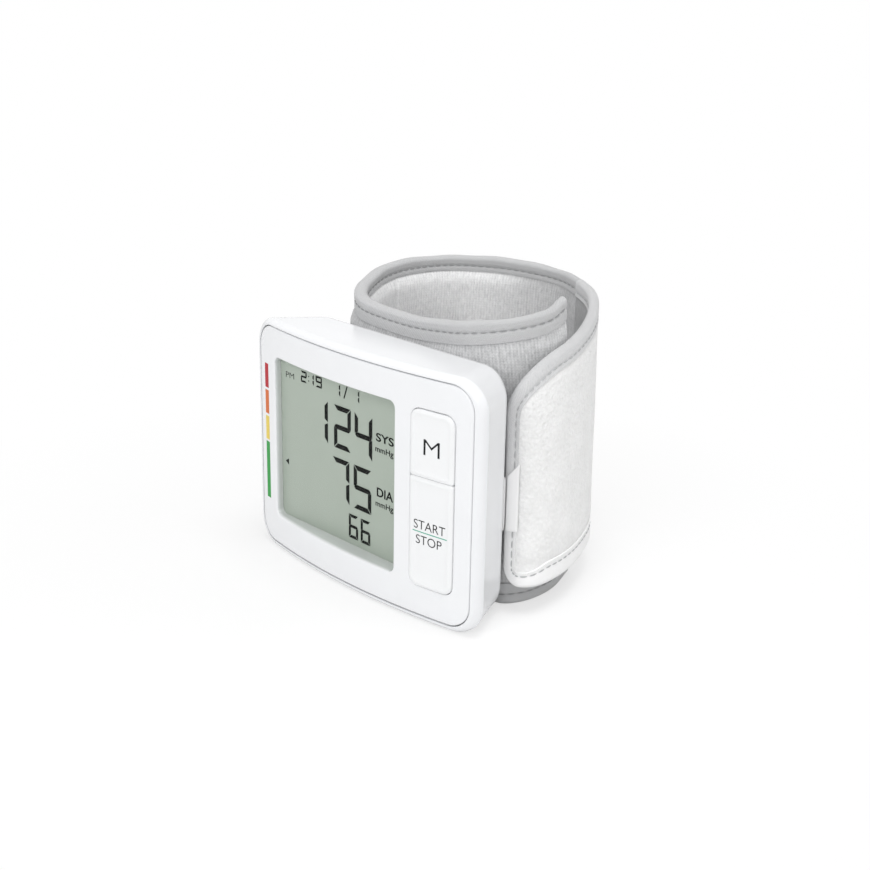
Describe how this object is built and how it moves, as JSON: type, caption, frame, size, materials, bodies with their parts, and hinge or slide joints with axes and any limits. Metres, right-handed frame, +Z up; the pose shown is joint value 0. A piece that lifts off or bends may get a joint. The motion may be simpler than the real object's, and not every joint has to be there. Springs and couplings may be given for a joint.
{
  "type": "wrist blood pressure monitor",
  "caption": "Wrist blood pressure monitor: a bowed white housing with a display window, pressing keys and a battery door, on a padded wrap-round cuff with a swinging flap.",
  "frame": {"origin": "on the flat base, under the middle of the housing, 12 mm behind the middle of its front", "axes": "+X to the right as the display is read, +Y to the back, +Z up; the display faces -Y"},
  "size_m": [0.0848, 0.0813, 0.0749],
  "materials": {
    "white_gloss": "glossy moulded",
    "white_key": "satin moulded",
    "white_matte": "fine matte",
    "clear": "polished clear",
    "display": "smooth grey-green",
    "board_green": "solder mask",
    "dark_rubber": "matte",
    "pale_rubber": "matte",
    "steel": "plain",
    "brass": "turned",
    "cell_jacket": "plain wrap",
    "grey_knit": "knitted",
    "grey_tape": "woven tape",
    "white_loop": "brushed loop"
  },
  "bodies": {
    "monitor": {"main_housing": "white_gloss", "face_plate": "white_gloss", "display_lens": "clear", "lcd_glass": "display", "lcd_frame": "white_matte", "zebra_strip": "dark_rubber", "memory_dome": "pale_rubber", "start_dome": "pale_rubber", "main_board": "board_green", "board_screw_1": "steel", "board_screw_2": "steel", "board_screw_3": "steel", "buzzer": "dark_rubber", "pressure_sensor": "white_matte", "battery_door_pin": "steel", "battery_tray": "white_matte", "battery_cell_1": "cell_jacket", "battery_cell_2": "cell_jacket", "plus_contact": "steel", "minus_contact": "steel", "pump_motor": "steel", "pump_head": "dark_rubber", "pump_pad": "dark_rubber", "valve_body": "steel", "air_manifold": "pale_rubber", "cuff_nipple": "pale_rubber", "rear_cover": "white_matte", "rear_screw_1": "steel", "rear_screw_2": "steel", "rear_screw_3": "steel", "rear_screw_4": "steel", "cuff_screw_1": "steel", "cuff_screw_2": "steel", "cuff_screw_3": "steel", "cuff_screw_4": "steel", "cuff_sleeve": "grey_knit", "cuff_stiffener": "white_matte", "air_bladder": "pale_rubber", "cuff_lining": "grey_knit", "top_binding": "grey_tape", "bottom_binding": "grey_tape", "hook_patch": "dark_rubber"},
    "memory_key": {"memory_key": "white_key"},
    "start_key": {"start_key": "white_key"},
    "battery_door": {"battery_door": "white_gloss", "door_contact": "steel"},
    "pump_crank": {"pump_crank": "brass"},
    "valve_plunger": {"valve_plunger": "brass"},
    "cuff_flap": {"flap_panel": "white_loop", "flap_binding": "grey_tape", "pull_tab": "white_matte"}
  },
  "joints": [
    {"name": "memory_key_press", "type": "slide", "parent": "monitor", "child": "memory_key", "axis": [0, 1, 0], "range_m": [0, 0.0005], "stiffness_N_per_m": 800, "deforming": ["memory_dome"]},
    {"name": "start_key_press", "type": "slide", "parent": "monitor", "child": "start_key", "axis": [0, 1, 0], "range_m": [0, 0.0005], "stiffness_N_per_m": 800, "deforming": ["start_dome"]},
    {"name": "battery_door_hinge", "type": "hinge", "parent": "monitor", "child": "battery_door", "pos_m": [-0.03598, 0.00486, 0.0226], "axis": [0, 0, -1], "range_deg": [0, 90]},
    {"name": "pump_crank_spin", "type": "hinge", "parent": "monitor", "child": "pump_crank", "pos_m": [-0.0134, 0.00131, 0.04115], "axis": [1, 0, 0], "continuous": true},
    {"name": "valve_plunger_slide", "type": "slide", "parent": "monitor", "child": "valve_plunger", "axis": [-1, 0, 0], "range_m": [0, 0.0006], "stiffness_N_per_m": 300},
    {"name": "cuff_flap_hinge", "type": "hinge", "parent": "monitor", "child": "cuff_flap", "pos_m": [0.0092, 0.06386, 0.036], "axis": [0, 0, 1], "range_deg": [0, 75]}
  ]
}
